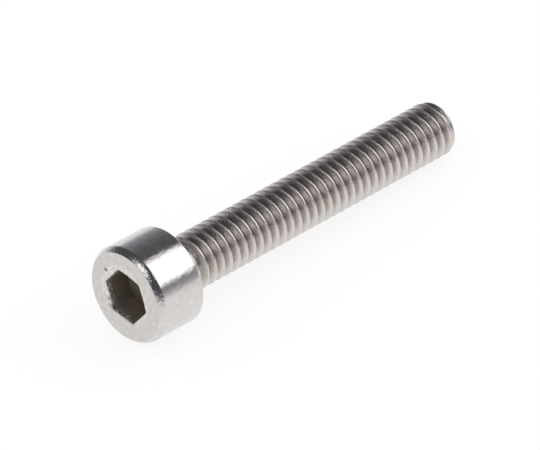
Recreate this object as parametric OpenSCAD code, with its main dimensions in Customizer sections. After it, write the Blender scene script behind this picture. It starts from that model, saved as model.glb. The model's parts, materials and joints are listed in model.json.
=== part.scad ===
// Hex socket cap screw, M2.5 x 16, threaded along its whole shank.
// It lies on the back rim of its head and the last turn of its thread, with the
// head at -X and the point at +X. Millimetres, +Z up. The origin is at the middle
// of its box, on the surface it rests on.

/* [Head] */
// Diameter of the round head
head_d = 4.35; // [3.9:0.05:6]
// Height of the head, from its flat face to its bearing face
head_h = 2.4; // [2:0.05:4]
// How far the convex band at the front rim runs in over the flat face
band_in = 0.175; // [0.05:0.005:0.3]
// How far the band runs down the side of the head
band_down = 0.29; // [0.1:0.01:0.6]
// Angle that the band's arc turns through from the face to the side, in degrees
band_turn = 34; // [10:1:50]
// Radius of the rounding at the back rim of the head
back_r = 0.08; // [0.02:0.01:0.2]

/* [Socket] */
// Width of the hexagonal socket across its flats
socket_af = 2.06; // [1.3:0.01:2.3]
// Depth of the socket's walls at its corners
socket_depth = 1.15; // [0.6:0.05:1.4]
// How much deeper the conical floor is at its middle
floor_drop = 0.35; // [0.1:0.05:0.5]
// Diameter of the countersink at the socket's mouth, on the flat face
mouth_d = 2.7; // [2.4:0.05:3.2]
// Included angle of the countersink, in degrees
mouth_angle = 160; // [120:5:165]
// Turn of the hexagon about the screw's axis, from straight down to one corner, in degrees
socket_turn = 35; // [0:1:59]

/* [Shank] */
// Length of the shank, from the bearing face to the flat of the point
shank_l = 16; // [5:0.5:25]
// Outer diameter of the thread
thread_d = 2.46; // [2:0.01:2.9]
// Radius of the fillet between the head and the shank
fillet_r = 0.1; // [0.03:0.01:0.3]
// Diameter of the flat at the point
point_d = 2.0; // [1.2:0.05:2]
// Length of the chamfer at the point
point_l = 0.35; // [0.1:0.05:0.8]

/* [Hidden] */
$fn = 96;
// Margin by which a cut or a join runs past the faces that it crosses
over = 0.05;
// Turn of the seam of the round faces from straight down, clear of what the screw rests on
seam_turn = 90;

head_r = head_d / 2;
face_r = head_r - band_in;
thread_r = thread_d / 2;
point_r = point_d / 2;
total_l = head_h + shank_l;

// The band's arc passes through the rim of the flat face and the top of the side
band_chord = norm([band_in, band_down]);
band_r = band_chord / 2 / sin(band_turn / 2);
band_sink = band_r * cos(band_turn / 2);
band_centre = [
    head_r - band_in / 2 - band_sink * band_down / band_chord,
    band_down / 2 + band_sink * band_in / band_chord
];

// Half of the hexagon across its corners
socket_r = socket_af / 2 / cos(30);
// How much higher the floor's cone is at a margin past the hexagon's corners
floor_rise = over * floor_drop / socket_r;
mouth_l = mouth_d / 2 / tan(mouth_angle / 2);

// The screw rests on the round of its back rim and on the edge where the thread
// meets the point's chamfer, so its axis leans down towards the point
rest_run = (total_l - point_l) - (head_h - back_r);
rest_drop = (head_r - back_r) - thread_r;
lean = atan2(rest_drop, rest_run) + asin(back_r / norm([rest_run, rest_drop]));
// Height of the axis at the flat face, and the place of the flat face along X
face_z = (total_l - point_l) * sin(lean) + thread_r * cos(lean);
face_x = -(total_l * cos(lean) + (point_r - face_r) * sin(lean)) / 2;

// Half sections, with the radius along X and the distance from the flat face along Y

module head_section() {
    difference() {
        square([head_r, head_h]);
        // Front rim: all that lies outside the band's arc
        difference() {
            translate([face_r, -over]) square([band_in + over, band_down + over]);
            translate(band_centre) circle(band_r);
        }
        // Back rim: all that lies outside the rounding
        translate([head_r - back_r, head_h - back_r]) difference() {
            square(back_r + over);
            circle(back_r);
        }
    }
}

module shank_section() {
    polygon([
        [0, head_h - over],
        [thread_r, head_h - over],
        [thread_r, total_l - point_l],
        [point_r, total_l],
        [0, total_l]
    ]);
    // Fillet against the bearing face
    difference() {
        translate([thread_r - over, head_h - over]) square(fillet_r + over);
        translate([thread_r + fillet_r, head_h + fillet_r]) circle(fillet_r);
    }
}

// The socket's hexagon ends in a conical floor, and its mouth is countersunk
module socket() {
    intersection() {
        translate([0, 0, -over])
            rotate([0, 0, socket_turn - seam_turn])
                cylinder(r = socket_r, h = socket_depth + floor_drop + 2 * over, $fn = 6);
        // The floor's cone runs out past the corners of the hexagon, up to a wider cylinder
        union() {
            translate([0, 0, -2 * over]) cylinder(r = socket_r + over, h = socket_depth - floor_rise + 2 * over);
            translate([0, 0, socket_depth - floor_rise])
                cylinder(r1 = socket_r + over, r2 = 0, h = floor_drop + floor_rise);
        }
    }
    // The cone starts a margin above the face, and is that much wider there
    translate([0, 0, -over])
        cylinder(r1 = (mouth_l + over) * tan(mouth_angle / 2), r2 = 0, h = mouth_l + over);
}

// The screw along its own axis, from the flat face at z = 0 to the point, with the seam
// of its round faces at +X
module screw_on_axis() {
    difference() {
        rotate_extrude() {
            head_section();
            shank_section();
        }
        socket();
    }
}

module cap_screw() {
    color("#b7b2ae")
        translate([face_x, 0, face_z])
            rotate([0, 90 + lean, 0])
                rotate([0, 0, seam_turn])
                    screw_on_axis();
}

cap_screw();
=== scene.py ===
"""Looks of an M2.5 x 16 hex socket cap screw in plain stainless steel, on a pale studio floor.

The screw is built along its own axis in millimetres, from the flat face of its head at z = 0 to
the flat of its point, and is then laid where the CAD model lies. Angles about the axis are
counted from straight down towards +Y.
"""
import json
import math

import bmesh
import bpy
from mathutils import Matrix, Vector


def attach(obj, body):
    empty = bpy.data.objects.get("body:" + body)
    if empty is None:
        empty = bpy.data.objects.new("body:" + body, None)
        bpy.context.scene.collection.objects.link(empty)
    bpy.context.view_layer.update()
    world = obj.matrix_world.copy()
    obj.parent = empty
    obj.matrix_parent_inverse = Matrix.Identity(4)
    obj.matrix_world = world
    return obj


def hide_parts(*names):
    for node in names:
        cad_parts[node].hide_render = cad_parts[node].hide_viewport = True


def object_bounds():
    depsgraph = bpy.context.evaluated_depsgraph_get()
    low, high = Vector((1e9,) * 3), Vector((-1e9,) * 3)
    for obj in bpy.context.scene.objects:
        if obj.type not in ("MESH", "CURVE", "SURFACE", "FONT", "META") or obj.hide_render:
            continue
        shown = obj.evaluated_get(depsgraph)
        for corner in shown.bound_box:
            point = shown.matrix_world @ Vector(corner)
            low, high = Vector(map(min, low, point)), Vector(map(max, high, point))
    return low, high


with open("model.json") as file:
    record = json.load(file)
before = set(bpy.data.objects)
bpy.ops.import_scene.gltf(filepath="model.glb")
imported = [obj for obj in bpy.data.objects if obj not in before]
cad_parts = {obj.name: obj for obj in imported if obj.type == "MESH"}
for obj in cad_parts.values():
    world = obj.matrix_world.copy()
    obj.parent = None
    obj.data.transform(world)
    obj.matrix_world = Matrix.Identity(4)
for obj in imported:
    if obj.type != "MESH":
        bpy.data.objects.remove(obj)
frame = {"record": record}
cad_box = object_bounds()

MM = 0.001
FINE = 1e-4  # merging distance, mm

# ------------------------------------------------------------------ sizes of the screw, in mm

HEAD_R = 2.175  # side of the head
FACE_R = 2.0  # outer edge of the flat face, where the convex band begins
BAND_DOWN = 0.29  # how far the band runs down the side
BAND_TURN = math.radians(34)  # angle that the band's arc turns through
HEAD_H = 2.4
BACK_R = 0.08  # rounding of the back rim
TOTAL_L = 18.4

SOCKET_AF = 2.06  # across flats
SOCKET_DEPTH = 1.15
FLOOR_R = 0.98  # edge of the conical floor
FLOOR_STEP = 0.02  # drop from the foot of the walls to that edge
FLOOR_DROP = 0.33
# Radius of the shallow countersink, which is uneven, opposite the middle of each of the
# hexagon's sides, in order round the axis from the side after the first corner
MOUTH_RIM = (1.44, 1.44, 1.41, 1.35, 1.27, 1.08)
TORN_L = 0.4  # depth of the torn, flared top of the socket's walls
TORN_FADE = 0.25  # how far the torn look fades out below it
TORN_FLARE = 0.05
MOUTH_LEAST = 0.015  # least width of the countersink
LIP_LEAST = 0.008  # least depth of the socket's lip
MOUTH_SLOPE = math.tan(math.radians(10))  # depth over width of a 160 degree countersink
CORNER_TURN = math.radians(35.3)  # one corner of the hexagon, from straight down

# Marks: (straight down, across, along the axis)
# Where painted shade stands for a small pit, which isn't in the mesh
PIT = (-0.742, 1.2, 0.02)
PIT_R = 0.085
TORN_SPOTS = ((0.62, 0.9, 0.05), (0.95, 0.72, 0.05))  # dark, torn places on the countersink
SCORED_SPOTS = ((-2.1, -0.56, 1.45), (-1.2, -1.81, 2.0))  # scored places on the head's side

PITCH = 0.45
# Where the middle of a root stands straight below the axis, in mm past a whole pitch
THREAD_PHASE = 0.355
CREST_R = 1.23
CREST_EDGE = 0.006  # rounding of the crest's edges
ROOT_R = 0.938
ROOT_ROUND = 0.05
NECK_R = 1.105  # the blank that the thread is rolled on
FILLET_R = 0.1
NECK_CUT = HEAD_H + FILLET_R + 0.04  # where the shank's mesh meets the head's
SKIN_END = (HEAD_H + 0.9, HEAD_H + 1.05)  # where the blank's own skin fades out
RUN_OUT = (HEAD_H + 0.7, HEAD_H + 1.06)  # where the thread starts, and where it is full
POINT_L = 0.35  # rounded end beyond the last turn
POINT_R = 1.0
POINT_EDGE = 0.06
ROOT_END = (TOTAL_L - POINT_L - 0.15, TOTAL_L - POINT_L + 0.25)  # where the last root runs out

ROUND_STEPS = 96  # steps round the head
THREAD_STEPS = 80  # steps round one turn of the thread
SHARP_HEAD = math.radians(12)  # edges that turn by more than this look sharp
SHARP_THREAD = math.radians(28)

# The record's mounts give the axis and the middle of the flat face
mounts = {m["name"]: m for m in frame["record"]["mounts"]}
axis = Vector(mounts["thread"]["axis"]).normalized()
face_middle = Vector(mounts["drive_socket"]["pos_m"])
across = Vector((0, 1, 0))
down = across.cross(axis)
# Columns: straight down, across and along the axis
LAY = Matrix((down, across, axis)).transposed().to_4x4()
LAY.translation = face_middle
TO_AXIS = LAY.inverted()  # metres in the row frame to metres along the axis

# ------------------------------------------------------------------ the mesh

FACE, SIDE, MOUTH, SOCKET, THREAD = range(5)  # the screw's material slots


def profile(bm, points):
    """A chain of edges through (radius, z) points."""
    verts = [bm.verts.new((r, 0, z)) for r, z in points]
    edges = [bm.edges.new(pair) for pair in zip(verts, verts[1:])]
    return verts + edges


def arc(centre, radius, start, end, steps):
    """Points of an arc, with angles in radians from the radial direction towards +z."""
    return [
        (
            centre[0] + radius * math.cos(start + (end - start) * i / steps),
            centre[1] + radius * math.sin(start + (end - start) * i / steps),
        )
        for i in range(steps + 1)
    ]


def band_points(steps):
    """The convex band, from the rim of the flat face to the top of the side."""
    width = HEAD_R - FACE_R
    chord = math.hypot(width, BAND_DOWN)
    radius = chord / 2 / math.sin(BAND_TURN / 2)
    sink = radius * math.cos(BAND_TURN / 2)
    centre = (
        HEAD_R - width / 2 - sink * BAND_DOWN / chord,
        BAND_DOWN / 2 + sink * width / chord,
    )
    start = math.atan2(-centre[1], FACE_R - centre[0])
    return arc(centre, radius, start, start + BAND_TURN, steps)


def polar(r, angle, z):
    """A point at a radius and an angle about the axis."""
    return Vector((r * math.cos(angle), r * math.sin(angle), z))


def eased(low, high, x):
    """0 below low, 1 above high, and smooth between them."""
    k = min(1.0, max(0.0, (x - low) / (high - low)))
    return k * k * (3 - 2 * k)


def build_head():
    """The turned head down to its neck, and the hexagonal socket."""
    bm = bmesh.new()
    rounds = [(1.5, 0), (1.75, 0)]
    turns = 9  # steps of a quarter round
    side_l = HEAD_H - BACK_R - BAND_DOWN
    side = [(HEAD_R, BAND_DOWN + side_l * i / 6) for i in range(1, 6)]
    back = arc((HEAD_R - BACK_R, HEAD_H - BACK_R), BACK_R, 0, math.pi / 2, turns)
    fillet_at = (NECK_R + FILLET_R, HEAD_H + FILLET_R)
    fillet = arc(fillet_at, FILLET_R, -math.pi / 2, -math.pi, turns)
    front = [(MOUTH_RIM[0], 0)] + rounds + band_points(8)
    points = front + side + back + [(1.6, HEAD_H)] + fillet
    bmesh.ops.spin(
        bm,
        geom=profile(bm, points),
        cent=(0, 0, 0),
        axis=(0, 0, 1),
        angle=2 * math.pi,
        steps=ROUND_STEPS,
        use_merge=True,
    )
    for face in bm.faces:
        middle = face.calc_center_median()
        at = Vector((middle.x, middle.y)).length
        face.material_index = FACE if middle.z < 1e-3 and at < FACE_R else SIDE

    # The socket grows inwards from the rim of the countersink
    rim = [v for v in bm.verts if v.is_boundary and v.co.z < FINE]
    ring = [e for e in bm.edges if e.is_boundary and e.verts[0].co.z < FINE]

    def grow(place):
        nonlocal ring
        made = bmesh.ops.extrude_edge_only(bm, edges=ring)["geom"]
        for v in made:
            if isinstance(v, bmesh.types.BMVert):
                v.co = place(math.atan2(v.co.y, v.co.x))
        ring = [e for e in made if isinstance(e, bmesh.types.BMEdge) and e.is_boundary]
        return [f for e in ring for f in e.link_faces]

    def hexagon(angle, out=0.0):
        return (SOCKET_AF / 2 + out) / math.cos((angle % (math.pi / 3)) - math.pi / 6)

    def mouth_rim(angle):
        """Radius of the countersink's rim, eased from one side of the hexagon to the next."""
        at = (angle / (math.pi / 3) - 0.5) % 6
        before, after = MOUTH_RIM[int(at)], MOUTH_RIM[(int(at) + 1) % 6]
        rim_r = before + (after - before) * eased(0, 1, at % 1)
        return max(rim_r, hexagon(angle, TORN_FLARE) + MOUTH_LEAST)

    def mouth_depth(angle, r):
        return max(LIP_LEAST, (mouth_rim(angle) - r) * MOUTH_SLOPE)

    def lip(share):
        """A ring on the countersink, from its rim at 0 to the socket's lip at 1."""

        def place(angle):
            outer = mouth_rim(angle)
            r = outer + (hexagon(angle, TORN_FLARE) - outer) * share
            return polar(r, angle, mouth_depth(angle, r))

        return place

    def wall(share):
        """A ring on the torn top of the walls, from the lip at 0 to the straight walls at 1."""

        def place(angle):
            lip_z = mouth_depth(angle, hexagon(angle, TORN_FLARE))
            turn = share * math.pi / 2
            r = hexagon(angle, TORN_FLARE * (1 - math.sin(turn)))
            return polar(r, angle, lip_z + (TORN_L - lip_z) * (1 - math.cos(turn)))

        return place

    def at_depth(z):
        return lambda angle: polar(hexagon(angle), angle, z)

    def circle(r, z):
        return lambda angle: polar(r, angle, z)

    for place in [lip(0.35), lip(0.7), lip(1)]:
        for face in grow(place):
            face.material_index = MOUTH
    for v in rim:
        angle = math.atan2(v.co.y, v.co.x)
        v.co = polar(mouth_rim(angle), angle, 0)
    walls = [wall(k / 5) for k in range(1, 6)]
    walls += [at_depth(z) for z in (0.6, 0.9, SOCKET_DEPTH)]
    floor_z = SOCKET_DEPTH + FLOOR_STEP
    floor = [circle(FLOOR_R * k, floor_z + FLOOR_DROP * (1 - k)) for k in (1, 0.7, 0.4, 0.15)]
    for place in walls + floor:
        for face in grow(place):
            face.material_index = SOCKET
    cap = bmesh.ops.contextual_create(bm, geom=ring)["faces"]
    for face in cap:
        face.material_index = SOCKET
    bmesh.ops.rotate(bm, verts=bm.verts, matrix=Matrix.Rotation(CORNER_TURN, 3, "Z"))
    return bm


def thread_section():
    """(offset along the axis, radius) over one pitch, from one root's middle to the next."""
    bottom = ROOT_R + ROOT_ROUND
    tan30 = math.tan(math.radians(30))
    root = [
        (ROOT_ROUND * math.sin(a), bottom - ROOT_ROUND * math.cos(a))
        for a in (math.radians(d) for d in (0, 20, 40, 60))
    ]
    # A flank climbs at 60 degrees from the end of the root's round to the crest
    start = root[-1]
    climb = CREST_R - CREST_EDGE - start[1]
    flank = [(start[0] + climb * k * tan30, start[1] + climb * k) for k in (0.33, 0.67, 1.0)]
    top = [(flank[-1][0] + CREST_EDGE, CREST_R), (PITCH / 2, CREST_R)]
    half = root + flank + top
    return half + [(PITCH - z, r) for z, r in reversed(half[:-1])]


def shank_radius(r, z):
    """Radius of a thread point, faded into the blank at the neck and rounded in at the point."""
    r = NECK_R + (r - NECK_R) * eased(*RUN_OUT, z)
    k = max(0.0, z - (TOTAL_L - POINT_L)) / POINT_L
    outer = CREST_R - (CREST_R - POINT_R) * k * k
    return outer - (CREST_R - r) * (1 - eased(*ROOT_END, z))


def build_shank():
    """A right-hand thread: one section of every pitch, spun once while it climbs one pitch."""
    bm = bmesh.new()
    section = thread_section()
    turns = math.ceil((TOTAL_L - HEAD_H) / PITCH) + 3
    first = math.floor(HEAD_H / PITCH) * PITCH - PITCH + THREAD_PHASE
    points = [(r, first + n * PITCH + z) for n in range(turns) for z, r in section[:-1]]
    points.append((section[-1][1], first + turns * PITCH))
    bmesh.ops.spin(
        bm,
        geom=profile(bm, points),
        cent=(0, 0, 0),
        axis=(0, 0, 1),
        dvec=(0, 0, PITCH / THREAD_STEPS),
        angle=2 * math.pi,
        steps=THREAD_STEPS,
    )
    bmesh.ops.remove_doubles(bm, verts=bm.verts, dist=FINE)
    for v in bm.verts:
        r = math.hypot(v.co.x, v.co.y)
        k = shank_radius(r, v.co.z) / r
        v.co.x *= k
        v.co.y *= k
    for z, side in ((NECK_CUT, -1), (TOTAL_L - POINT_EDGE, 1)):
        bmesh.ops.bisect_plane(
            bm,
            geom=bm.verts[:] + bm.edges[:] + bm.faces[:],
            dist=FINE,
            plane_co=(0, 0, z),
            plane_no=(0, 0, side),
            clear_outer=True,
        )
    # The edge of the point turns in to its flat end
    ring = [e for e in bm.edges if e.is_boundary and e.verts[0].co.z > TOTAL_L - 2 * POINT_EDGE]
    for i in (1, 2, 3):
        turn = math.pi / 2 * i / 3
        r = POINT_R - POINT_EDGE * (1 - math.cos(turn))
        z = TOTAL_L - POINT_EDGE + POINT_EDGE * math.sin(turn)
        made = bmesh.ops.extrude_edge_only(bm, edges=ring)["geom"]
        for v in made:
            if isinstance(v, bmesh.types.BMVert):
                k = r / math.hypot(v.co.x, v.co.y)
                v.co = Vector((v.co.x * k, v.co.y * k, z))
        ring = [e for e in made if isinstance(e, bmesh.types.BMEdge) and e.is_boundary]
    bmesh.ops.contextual_create(bm, geom=ring)
    for face in bm.faces:
        face.material_index = THREAD
    return bm


def build_screw():
    """The whole screw as one closed mesh, laid in the row frame in metres."""
    bm = build_head()
    shank = build_shank()
    loose = bpy.data.meshes.new("shank")
    shank.to_mesh(loose)
    shank.free()
    bm.from_mesh(loose)
    bpy.data.meshes.remove(loose)
    neck = [e for e in bm.edges if e.is_boundary]
    made = bmesh.ops.bridge_loops(bm, edges=neck)["faces"]
    for face in made:
        face.material_index = THREAD
    bmesh.ops.recalc_face_normals(bm, faces=bm.faces)
    for face in bm.faces:
        face.smooth = True
    for edge in bm.edges:
        on_thread = all(f.material_index == THREAD for f in edge.link_faces)
        edge.smooth = edge.calc_face_angle(0) < (SHARP_THREAD if on_thread else SHARP_HEAD)
    bmesh.ops.scale(bm, vec=(MM, MM, MM), verts=bm.verts)
    bmesh.ops.transform(bm, matrix=LAY, verts=bm.verts)
    mesh = bpy.data.meshes.new("hex_socket_cap_screw")
    bm.to_mesh(mesh)
    open_edges = sum(not e.is_manifold for e in bm.edges)
    bm.free()
    print("screw:", len(mesh.polygons), "faces,", open_edges, "open edges")
    screw = bpy.data.objects.new("hex_socket_cap_screw", mesh)
    bpy.context.scene.collection.objects.link(screw)
    return screw


# ------------------------------------------------------------------ materials


def linear(code):
    """An sRGB hex colour as linear RGBA."""
    channels = (int(code[i : i + 2], 16) / 255 for i in (1, 3, 5))
    return (*(c / 12.92 if c <= 0.04045 else ((c + 0.055) / 1.055) ** 2.4 for c in channels), 1)


def new_material(name):
    material = bpy.data.materials.new(name)
    material.use_nodes = True
    material.node_tree.nodes.clear()
    return material, material.node_tree


def add(tree, kind, settings=None, **sockets):
    """Adds a node. Settings are its properties; a socket gets a value or a link to an output.
    A socket whose name isn't its own, such as the second Value, is given by number, as i1."""
    node = tree.nodes.new(kind)
    for key, value in (settings or {}).items():
        setattr(node, key, value)
    for key, value in sockets.items():
        numbered = key[0] == "i" and key[1:].isdigit()
        socket = node.inputs[int(key[1:]) if numbered else key]
        if isinstance(value, bpy.types.NodeSocket):
            tree.links.new(value, socket)
        else:
            socket.default_value = value
    return node


def ramp(tree, level, low, high):
    """A colour that runs from one (level, sRGB hex colour) pair to the other."""
    node = add(tree, "ShaderNodeValToRGB", Fac=level)
    for stop, (position, code) in zip(node.color_ramp.elements, (low, high)):
        stop.position = position
        stop.color = linear(code)
    return node.outputs[0]


def bare_metal(tree, colour, roughness, normal):
    """The surface of a metal, linked to the material's output."""
    shader = add(
        tree,
        "ShaderNodeBsdfPrincipled",
        **{"Base Color": colour, "Metallic": 1.0, "Roughness": roughness, "Normal": normal},
    )
    add(tree, "ShaderNodeOutputMaterial", Surface=shader.outputs[0])


def along_axis(tree, scale=(1, 1, 1)):
    """Object coordinates in millimetres along the screw's axis, each then scaled."""
    place = add(tree, "ShaderNodeTexCoord").outputs["Object"]
    turn = add(
        tree,
        "ShaderNodeMapping",
        {"vector_type": "POINT"},
        Vector=place,
        Location=TO_AXIS.translation / MM,
        Rotation=TO_AXIS.to_euler("XYZ"),
        Scale=(1 / MM, 1 / MM, 1 / MM),
    )
    return add(tree, "ShaderNodeMapping", Vector=turn.outputs[0], Scale=scale).outputs[0]


def near(tree, place, spots, inner, outer):
    """1 within the inner distance of any of the spots, fading to 0 at the outer one."""
    share = None
    for spot in spots:
        away = add(
            tree, "ShaderNodeVectorMath", {"operation": "DISTANCE"}, i0=place, i1=spot
        ).outputs["Value"]
        close = add(
            tree,
            "ShaderNodeMapRange",
            {"interpolation_type": "SMOOTHSTEP"},
            Value=away,
            **{"From Min": inner, "From Max": outer, "To Min": 1.0, "To Max": 0.0},
        ).outputs[0]
        if share is not None:
            close = add(
                tree, "ShaderNodeMath", {"operation": "MAXIMUM"}, i0=share, i1=close
            ).outputs[0]
        share = close
    return share


def with_painted_pit_shade(tree, place, colour):
    """A metal's colour, darkened by painted shade at a small pit beside the socket."""
    pit = near(tree, place, [PIT], PIT_R * 0.5, PIT_R * 1.6)
    return add(
        tree, "ShaderNodeMix", {"data_type": "RGBA"}, i0=pit, i6=colour, i7=linear("#877d73")
    ).outputs[2]


def turned_steel():
    """Stainless steel, turned and tumbled: bright, but its highlights have wavy, streaked edges,
    and the band at the front is chattered. The rings are 0.05 mm wide and the dents 0.25 mm."""
    material, tree = new_material("turned_stainless_steel")
    place = along_axis(tree)
    depth = add(tree, "ShaderNodeSeparateXYZ", i0=place).outputs["Z"]
    rings = add(
        tree,
        "ShaderNodeTexNoise",
        Vector=along_axis(tree, (2.2, 2.2, 13)),
        Scale=1.0,
        Detail=3.0,
        Roughness=0.6,
    )
    dents = add(tree, "ShaderNodeTexNoise", Vector=place, Scale=3.6, Detail=3.0, Roughness=0.6)
    scores = add(
        tree, "ShaderNodeTexNoise", Vector=along_axis(tree, (9, 9, 2.5)), Scale=1.0, Detail=3.0
    )
    chatter = add(tree, "ShaderNodeTexNoise", Vector=place, Scale=9.0, Detail=3.0, Roughness=0.6)
    ringed = add(tree, "ShaderNodeBump", Strength=0.5, Distance=0.004 * MM, Height=rings.outputs[0])
    dented = add(
        tree,
        "ShaderNodeBump",
        Strength=1.0,
        Distance=0.008 * MM,
        Height=dents.outputs[0],
        Normal=ringed.outputs[0],
    )
    scored = add(
        tree,
        "ShaderNodeBump",
        Strength=near(tree, place, SCORED_SPOTS, 0.1, 0.6),
        Distance=0.009 * MM,
        Height=scores.outputs[0],
        Normal=dented.outputs[0],
    )
    on_band = add(
        tree,
        "ShaderNodeMapRange",
        Value=depth,
        **{"From Min": BAND_DOWN * 0.9, "From Max": BAND_DOWN, "To Min": 1.0, "To Max": 0.0},
    ).outputs[0]
    chattered = add(
        tree,
        "ShaderNodeBump",
        Strength=on_band,
        Distance=0.02 * MM,
        Height=chatter.outputs[0],
        Normal=scored.outputs[0],
    )
    tone = ramp(tree, dents.outputs[0], (0.35, "#d4d0cd"), (0.65, "#dcdad9"))
    uneven = add(
        tree, "ShaderNodeMapRange", Value=dents.outputs[0], **{"To Min": 0.08, "To Max": 0.19}
    ).outputs[0]
    gloss = add(
        tree, "ShaderNodeMix", {"data_type": "FLOAT"}, i0=on_band, i2=uneven, i3=0.07
    ).outputs[0]
    bare_metal(tree, tone, gloss, chattered.outputs[0])
    return material


def forged_steel():
    """Stainless steel, forged and tumbled: flat satin grey, fine mottling, painted shade of a small
    pit.
    """
    material, tree = new_material("tumbled_stainless_steel")
    place = along_axis(tree)
    mottle = add(tree, "ShaderNodeTexNoise", Vector=place, Scale=5.0, Detail=5.0, Roughness=0.75)
    tone = ramp(tree, mottle.outputs[0], (0.3, "#cbc7c4"), (0.7, "#e6e2df"))
    bump = add(tree, "ShaderNodeBump", Strength=0.6, Distance=0.02 * MM, Height=mottle.outputs[0])
    bare_metal(tree, with_painted_pit_shade(tree, place, tone), 0.38, bump.outputs[0])
    return material


def sheared_steel():
    """Stainless steel, countersunk and sheared by the punch: a pale, slightly warm satin, torn
    and darker in places next to the socket."""
    material, tree = new_material("sheared_stainless_steel")
    place = along_axis(tree)
    tears = add(tree, "ShaderNodeTexNoise", Vector=place, Scale=7.0, Detail=4.0, Roughness=0.7)
    tone = ramp(tree, tears.outputs[0], (0.35, "#d2ccc6"), (0.6, "#eee9e2"))
    dark = add(
        tree,
        "ShaderNodeMapRange",
        Value=tears.outputs[0],
        **{"From Min": 0.4, "From Max": 0.6, "To Min": 1.0, "To Max": 0.0},
    ).outputs[0]
    torn = add(
        tree,
        "ShaderNodeMath",
        {"operation": "MULTIPLY"},
        i0=dark,
        i1=near(tree, place, TORN_SPOTS, 0.1, 0.35),
    ).outputs[0]
    darkened = add(
        tree,
        "ShaderNodeMix",
        {"data_type": "RGBA"},
        i0=torn,
        i6=tone,
        i7=linear("#9c9498"),
    ).outputs[2]
    bump = add(tree, "ShaderNodeBump", Strength=0.35, Distance=0.03 * MM, Height=tears.outputs[0])
    bare_metal(tree, with_painted_pit_shade(tree, place, darkened), 0.36, bump.outputs[0])
    return material


def punched_steel():
    """Stainless steel, punched: dull walls browned by the punch's lubricant, painted shade that
    darkens the socket's floor and the foot of its walls, and a torn, brighter and rougher band just
    inside the lip."""
    material, tree = new_material("punched_stainless_steel")
    place = along_axis(tree)
    depth = add(tree, "ShaderNodeSeparateXYZ", i0=place).outputs["Z"]
    tears = add(tree, "ShaderNodeTexNoise", Vector=place, Scale=8.0, Detail=4.0, Roughness=0.7)
    stains = add(tree, "ShaderNodeTexNoise", Vector=place, Scale=1.6, Detail=2.0)
    # How deep a point lies, with an uneven edge to the torn band
    uneven = add(
        tree,
        "ShaderNodeMath",
        {"operation": "MULTIPLY_ADD"},
        i0=tears.outputs[0],
        i1=0.5,
        i2=depth,
    )
    torn = add(
        tree,
        "ShaderNodeMapRange",
        Value=uneven.outputs[0],
        **{"From Min": TORN_L, "From Max": TORN_L + TORN_FADE, "To Min": 1.0, "To Max": 0.0},
    ).outputs[0]
    brown = ramp(tree, stains.outputs[0], (0.35, "#cfc7c4"), (0.65, "#dbd5ca"))
    # Painted shade: the foot of the walls and the floor of the socket are darkened in colour
    bottom = add(
        tree,
        "ShaderNodeMapRange",
        Value=depth,
        **{"From Min": SOCKET_DEPTH - 0.03, "From Max": SOCKET_DEPTH},
    ).outputs[0]
    inside = add(
        tree,
        "ShaderNodeMix",
        {"data_type": "RGBA"},
        i0=bottom,
        i6=brown,
        # the colour of the painted shade at the bottom of the socket
        i7=linear("#756c60"),
    )
    grey = ramp(tree, tears.outputs[0], (0.45, "#a39b99"), (0.58, "#f4f0ec"))
    tone = add(
        tree,
        "ShaderNodeMix",
        {"data_type": "RGBA"},
        i0=torn,
        i6=inside.outputs[2],
        i7=grey,
    )
    strength = add(tree, "ShaderNodeMapRange", Value=torn, **{"To Min": 0.08, "To Max": 0.9})
    gloss = add(tree, "ShaderNodeMapRange", Value=torn, **{"To Min": 0.45, "To Max": 0.65})
    bump = add(
        tree,
        "ShaderNodeBump",
        Strength=strength.outputs[0],
        Distance=0.03 * MM,
        Height=tears.outputs[0],
    )
    bare_metal(tree, tone.outputs[2], gloss.outputs[0], bump.outputs[0])
    return material


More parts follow.
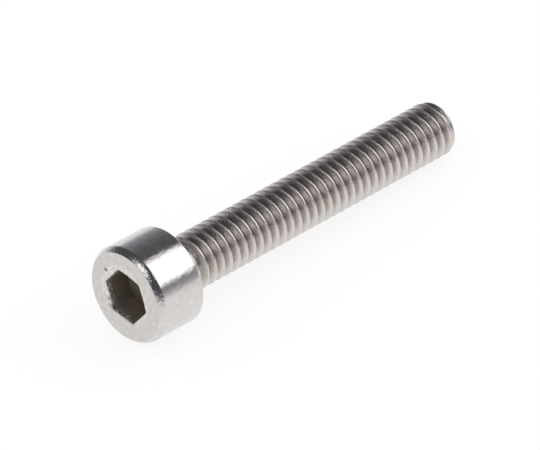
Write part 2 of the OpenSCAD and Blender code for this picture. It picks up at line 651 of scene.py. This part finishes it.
def rolled_steel():
    """Stainless steel, thread-rolled: a warm satin grey with mottled grain, painted darker towards
    the roots as shade in the grooves and lighter on the burnished crests, and a plain neck that the
    dies haven't reached, with the blank's own speckled skin."""
    material, tree = new_material("rolled_stainless_steel")
    place = along_axis(tree)
    depth = add(tree, "ShaderNodeSeparateXYZ", i0=place).outputs["Z"]
    neck = add(
        tree,
        "ShaderNodeMapRange",
        Value=depth,
        **{"From Min": SKIN_END[0], "From Max": SKIN_END[1], "To Min": 1.0, "To Max": 0.0},
    ).outputs[0]
    flat = add(tree, "ShaderNodeVectorMath", {"operation": "MULTIPLY"}, i0=place, i1=(1, 1, 0))
    radius = add(
        tree, "ShaderNodeVectorMath", {"operation": "LENGTH"}, i0=flat.outputs[0]
    ).outputs["Value"]
    # Painted shade: the colour gets darker towards the roots of the thread and lighter on the
    # crests
    height = add(
        tree,
        "ShaderNodeMapRange",
        Value=radius,
        **{"From Min": ROOT_R, "From Max": CREST_R - CREST_EDGE},
    ).outputs[0]
    grain = add(
        tree,
        "ShaderNodeTexNoise",
        Vector=along_axis(tree, (1, 1, 1.6)),
        Scale=13.0,
        Detail=4.0,
        Roughness=0.6,
    )
    uneven = add(
        tree,
        "ShaderNodeMath",
        {"operation": "MULTIPLY_ADD"},
        i0=grain.outputs[0],
        i1=1.3,
        i2=-0.65,
    )
    level = add(tree, "ShaderNodeMath", {"operation": "ADD"}, i0=height, i1=uneven.outputs[0])
    # painted shade in the grooves, mixed with the random grain
    tone = ramp(tree, level.outputs[0], (0.1, "#bab3ae"), (0.95, "#dbd5d2"))
    speckle = add(tree, "ShaderNodeTexNoise", Vector=place, Scale=8.0, Detail=3.0, Roughness=0.7)
    skin = ramp(tree, speckle.outputs[0], (0.42, "#b6b3ad"), (0.58, "#e6e4df"))
    colour = add(
        tree,
        "ShaderNodeMix",
        {"data_type": "RGBA"},
        i0=neck,
        i6=tone,
        i7=skin,
    ).outputs[2]
    grained = add(
        tree, "ShaderNodeBump", Strength=1.0, Distance=0.013 * MM, Height=grain.outputs[0]
    )
    bump = add(
        tree,
        "ShaderNodeBump",
        Strength=neck,
        Distance=0.02 * MM,
        Height=speckle.outputs[0],
        Normal=grained.outputs[0],
    )
    burnished = add(
        tree,
        "ShaderNodeMapRange",
        Value=level.outputs[0],
        **{"From Min": 0.7, "From Max": 1.0, "To Min": 0.2, "To Max": 0.26},
    ).outputs[0]
    gloss = add(
        tree, "ShaderNodeMix", {"data_type": "FLOAT"}, i0=neck, i2=burnished, i3=0.25
    ).outputs[0]
    bare_metal(tree, colour, gloss, bump.outputs[0])
    return material


screw = build_screw()
for made in (forged_steel(), turned_steel(), sheared_steel(), punched_steel(), rolled_steel()):
    screw.data.materials.append(made)
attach(screw, "root")
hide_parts("cap_screw")

# ------------------------------------------------------------------ studio

FLOOR_HALF = 2.0  # half of the floor's side, in metres
NEAR_PAPER = 0.003  # where the paper starts to dim in reflections, in metres from the middle
FAR_PAPER = 0.03
ROOM_R = 1.0  # metres
# Brightness of the studio's wall at each elevation in degrees. The white paper sweeps up
# the far side, at +X, and the side towards the camera is dark.
NEAR_WALL = ((0, 0.65), (4, 0.55), (9, 0.3), (14, 0.1), (26, 0.09), (45, 0.08), (89, 0.085))
FAR_WALL = (
    (0, 0.8),
    (6, 0.5),
    (12, 0.34),
    (20, 0.25),
    (30, 0.18),
    (42, 0.12),
    (60, 0.095),
    (89, 0.085),
)
WALL_TINT = (0.99, 0.97, 1.06)
SWEEP_EDGE = (0.40, 0.56)  # where the near wall ends and the far one begins along X, in radii

# The camera, aimed at a point in mm, with the direction back from there and its distance
AIM_AT = (-0.853, -0.025, 1.455)
AIM_BACK = (-0.54488, -0.55625, 0.62745)
AIM_AWAY = 265.3
LENS = 422.5


def seen_or_mirrored(tree):
    """1 for rays from the camera or off a glossy or clear surface, 0 for the rest."""
    path = add(tree, "ShaderNodeLightPath")
    both = add(
        tree,
        "ShaderNodeMath",
        {"operation": "MAXIMUM"},
        i0=path.outputs["Is Camera Ray"],
        i1=path.outputs["Is Glossy Ray"],
    )
    return add(
        tree,
        "ShaderNodeMath",
        {"operation": "MAXIMUM"},
        i0=both.outputs[0],
        i1=path.outputs["Is Transmission Ray"],
    ).outputs[0]


def make_floor():
    """White paper, which is lit by the lamps and also glows a little of its own."""
    bm = bmesh.new()
    bmesh.ops.create_grid(bm, x_segments=1, y_segments=1, size=FLOOR_HALF)
    mesh = bpy.data.meshes.new("floor")
    bm.to_mesh(mesh)
    bm.free()
    floor = bpy.data.objects.new("floor", mesh)
    floor.location.z = cad_box[0].z
    bpy.context.scene.collection.objects.link(floor)
    material, tree = new_material("white_paper")
    paper = add(tree, "ShaderNodeBsdfDiffuse", Color=linear("#f4f4f4"))
    # The paper away from the screw is dimmer in the screw's reflections
    place = add(tree, "ShaderNodeTexCoord").outputs["Object"]
    away = add(tree, "ShaderNodeVectorMath", {"operation": "LENGTH"}, i0=place).outputs["Value"]
    far = add(
        tree,
        "ShaderNodeMapRange",
        Value=away,
        **{"From Min": NEAR_PAPER, "From Max": FAR_PAPER, "To Min": 1.0, "To Max": 0.85},
    ).outputs[0]
    mirrored = add(tree, "ShaderNodeLightPath").outputs["Is Glossy Ray"]
    level = add(tree, "ShaderNodeMix", {"data_type": "FLOAT"}, i0=mirrored, i2=1.0, i3=far)
    glow = add(tree, "ShaderNodeEmission", Color=(1, 1, 1, 1), Strength=level.outputs[0])
    share = add(
        tree, "ShaderNodeMath", {"operation": "MULTIPLY"}, i0=seen_or_mirrored(tree), i1=0.85
    )
    both = add(
        tree,
        "ShaderNodeMixShader",
        Fac=share.outputs[0],
        i1=paper.outputs[0],
        i2=glow.outputs[0],
    )
    add(tree, "ShaderNodeOutputMaterial", Surface=both.outputs[0])
    mesh.materials.append(material)


def direction(azimuth, elevation):
    """Unit vector, with the azimuth counted from +X towards +Y."""
    a, e = math.radians(azimuth), math.radians(elevation)
    return Vector((math.cos(a) * math.cos(e), math.sin(a) * math.cos(e), math.sin(e)))


def make_room():
    """The dark walls and ceiling of the studio, which show only in the screw's reflections.
    The paper's sweep fades out up the wall."""
    bm = bmesh.new()
    bmesh.ops.create_uvsphere(bm, u_segments=48, v_segments=32, radius=ROOM_R)
    bmesh.ops.bisect_plane(
        bm,
        geom=bm.verts[:] + bm.edges[:] + bm.faces[:],
        plane_co=(0, 0, 0),
        plane_no=(0, 0, -1),
        clear_outer=True,
    )
    bmesh.ops.reverse_faces(bm, faces=bm.faces)
    mesh = bpy.data.meshes.new("dark_room")
    bm.to_mesh(mesh)
    bm.free()
    room = bpy.data.objects.new("dark_room", mesh)
    bpy.context.scene.collection.objects.link(room)
    room.visible_camera = False
    room.visible_shadow = False
    room.visible_diffuse = False
    material, tree = new_material("dark_room_wall")
    place = add(tree, "ShaderNodeTexCoord").outputs["Object"]
    parts = add(tree, "ShaderNodeSeparateXYZ", i0=place)
    share = add(tree, "ShaderNodeMath", {"operation": "DIVIDE"}, i0=parts.outputs["Z"], i1=ROOM_R)
    tones = []
    for name, stops in (("camera_side", NEAR_WALL), ("far_side", FAR_WALL)):
        sweep = add(tree, "ShaderNodeValToRGB", {"name": name}, Fac=share.outputs[0])
        elements = sweep.color_ramp.elements
        elements.remove(elements[0])
        for elevation, grey in stops:
            stop = elements.new(math.sin(math.radians(elevation)))
            stop.color = (*(grey * tint for tint in WALL_TINT), 1)
        tones.append(sweep.outputs[0])
    side = add(
        tree,
        "ShaderNodeMapRange",
        {"interpolation_type": "SMOOTHSTEP"},
        Value=parts.outputs["X"],
        **{"From Min": SWEEP_EDGE[0] * ROOM_R, "From Max": SWEEP_EDGE[1] * ROOM_R},
    ).outputs[0]
    both = add(tree, "ShaderNodeMix", {"data_type": "RGBA"}, i0=side, i6=tones[0], i7=tones[1])
    glow = add(tree, "ShaderNodeEmission", Color=both.outputs[2], Strength=1.0)
    add(tree, "ShaderNodeOutputMaterial", Surface=glow.outputs[0])
    mesh.materials.append(material)


def make_softbox(name, azimuth, elevation, width, height, strength, away=0.35):
    """An area lamp of the given brightness. Width and height are angles in degrees."""
    lamp = bpy.data.lights.new(name, "AREA")
    lamp.shape = "RECTANGLE"
    lamp.size = 2 * away * math.tan(math.radians(width / 2))
    lamp.size_y = 2 * away * math.tan(math.radians(height / 2))
    lamp.energy = strength * math.pi * lamp.size * lamp.size_y
    lamp.use_nodes = True
    tree = lamp.node_tree
    tree.nodes.clear()
    # The diffuser is dimmer towards its edges
    place = add(tree, "ShaderNodeTexCoord").outputs["UV"]
    middle = add(
        tree, "ShaderNodeVectorMath", {"operation": "SUBTRACT"}, i0=place, i1=(0.5, 0.5, 0)
    )
    folded = add(tree, "ShaderNodeVectorMath", {"operation": "ABSOLUTE"}, i0=middle.outputs[0])
    parts = add(tree, "ShaderNodeSeparateXYZ", i0=folded.outputs[0])
    nearest = add(
        tree,
        "ShaderNodeMath",
        {"operation": "MAXIMUM"},
        i0=parts.outputs["X"],
        i1=parts.outputs["Y"],
    )
    fade = add(
        tree,
        "ShaderNodeMapRange",
        {"interpolation_type": "SMOOTHSTEP"},
        Value=nearest.outputs[0],
        **{"From Min": 0.3, "From Max": 0.5, "To Min": 1.0, "To Max": 0.3},
    )
    glow = add(tree, "ShaderNodeEmission", Strength=fade.outputs[0])
    add(tree, "ShaderNodeOutputLight", Surface=glow.outputs[0])
    box = bpy.data.objects.new(name, lamp)
    aim = direction(azimuth, elevation)
    box.location = aim * away
    box.rotation_euler = aim.to_track_quat("Z", "Y").to_euler()
    box.visible_camera = False
    bpy.context.scene.collection.objects.link(box)


def make_world():
    """An even white sky, a little brighter where it is seen or mirrored."""
    world = bpy.data.worlds.new("studio")
    bpy.context.scene.world = world
    world.use_nodes = True
    tree = world.node_tree
    tree.nodes.clear()
    level = add(
        tree, "ShaderNodeMix", {"data_type": "FLOAT"}, i0=seen_or_mirrored(tree), i2=0.9, i3=1.0
    )
    glow = add(tree, "ShaderNodeBackground", Color=(1, 1, 1, 1), Strength=level.outputs[0])
    add(tree, "ShaderNodeOutputWorld", Surface=glow.outputs[0])


def make_camera():
    data = bpy.data.cameras.new("camera")
    data.sensor_width = 36.0
    data.lens = LENS
    data.clip_start = 0.01
    data.clip_end = 20.0
    camera = bpy.data.objects.new("camera", data)
    back = Vector(AIM_BACK)
    camera.location = Vector(AIM_AT) * MM + back * AIM_AWAY * MM
    camera.rotation_euler = back.to_track_quat("Z", "Y").to_euler()
    bpy.context.scene.collection.objects.link(camera)
    bpy.context.scene.camera = camera


make_floor()
make_world()
make_room()
make_softbox("key_softbox", -37, 43, 55, 43, 1.55)
make_softbox("top_softbox", 183, 53, 35, 34, 1.5)
make_camera()

bpy.context.scene.view_settings.view_transform = "Standard"
